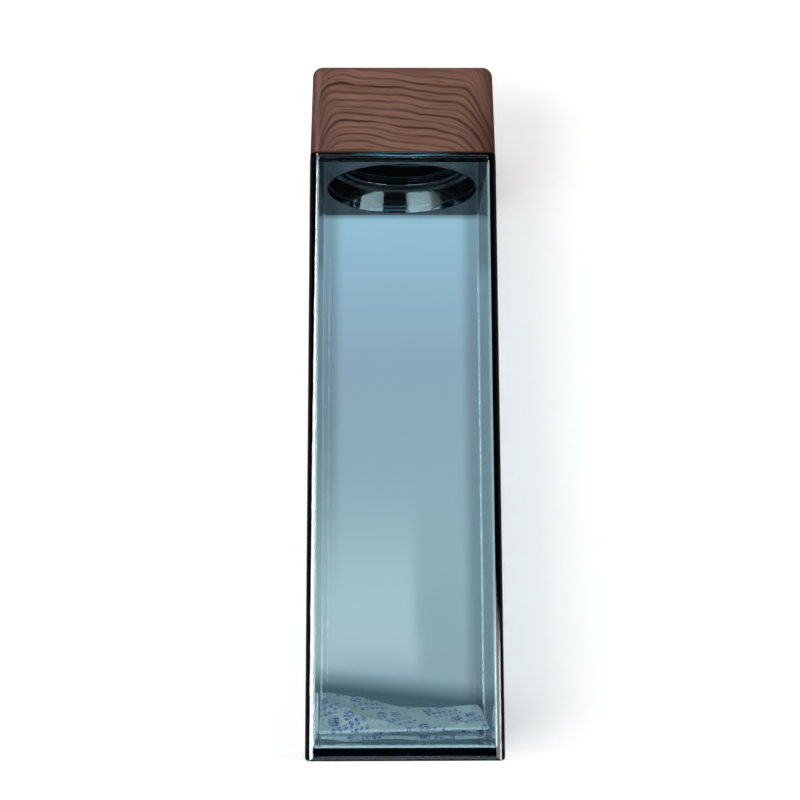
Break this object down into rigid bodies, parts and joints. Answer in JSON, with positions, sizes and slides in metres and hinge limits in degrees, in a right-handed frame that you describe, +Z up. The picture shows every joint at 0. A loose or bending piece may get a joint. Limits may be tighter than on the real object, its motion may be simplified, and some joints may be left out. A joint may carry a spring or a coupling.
{
  "type": "square water bottle with screw cap",
  "caption": "Square transparent water bottle with a welded threaded neck and a square wood-print screw cap that unscrews and lifts as it turns.",
  "frame": {"origin": "centre of the square foot, on the plane the bottle stands on", "axes": "+Z up along the neck and thread axis, +Y towards the back wall that the sachet lies against, +X to the right seen from the front"},
  "size_m": [0.058, 0.058, 0.2132],
  "materials": {
    "smoke_san": "polished transparent smoke-blue SAN",
    "smoke_san_neck": "polished transparent smoke-blue SAN",
    "seal_silicone": "smooth grey silicone",
    "liner_pp": "dark moulded polypropylene",
    "wood_print_abs": "satin ABS with a transfer-printed walnut grain",
    "sachet_paper": "bonded-fibre paper with small blue marks"
  },
  "bodies": {
    "bottle": {"bottle_body": "smoke_san", "shoulder_neck": "smoke_san_neck", "desiccant_sachet": "sachet_paper"},
    "seal": {"seal_ring": "seal_silicone"},
    "cap": {"cap_liner": "liner_pp", "cap_shell": "wood_print_abs"}
  },
  "joints": [
    {"name": "cap_rise", "type": "slide", "parent": "bottle", "child": "seal", "axis": [0, 0, 1], "range_m": [0, 0.0195]},
    {"name": "cap_turn", "type": "hinge", "parent": "seal", "child": "cap", "pos_m": [0, 0, 0.1984], "axis": [0, 0, 1], "range_deg": [0, 1170]}
  ],
  "couplings": [
    {"joint": "cap_rise", "follows": "cap_turn", "m_per_rad": 0.00095493}
  ]
}
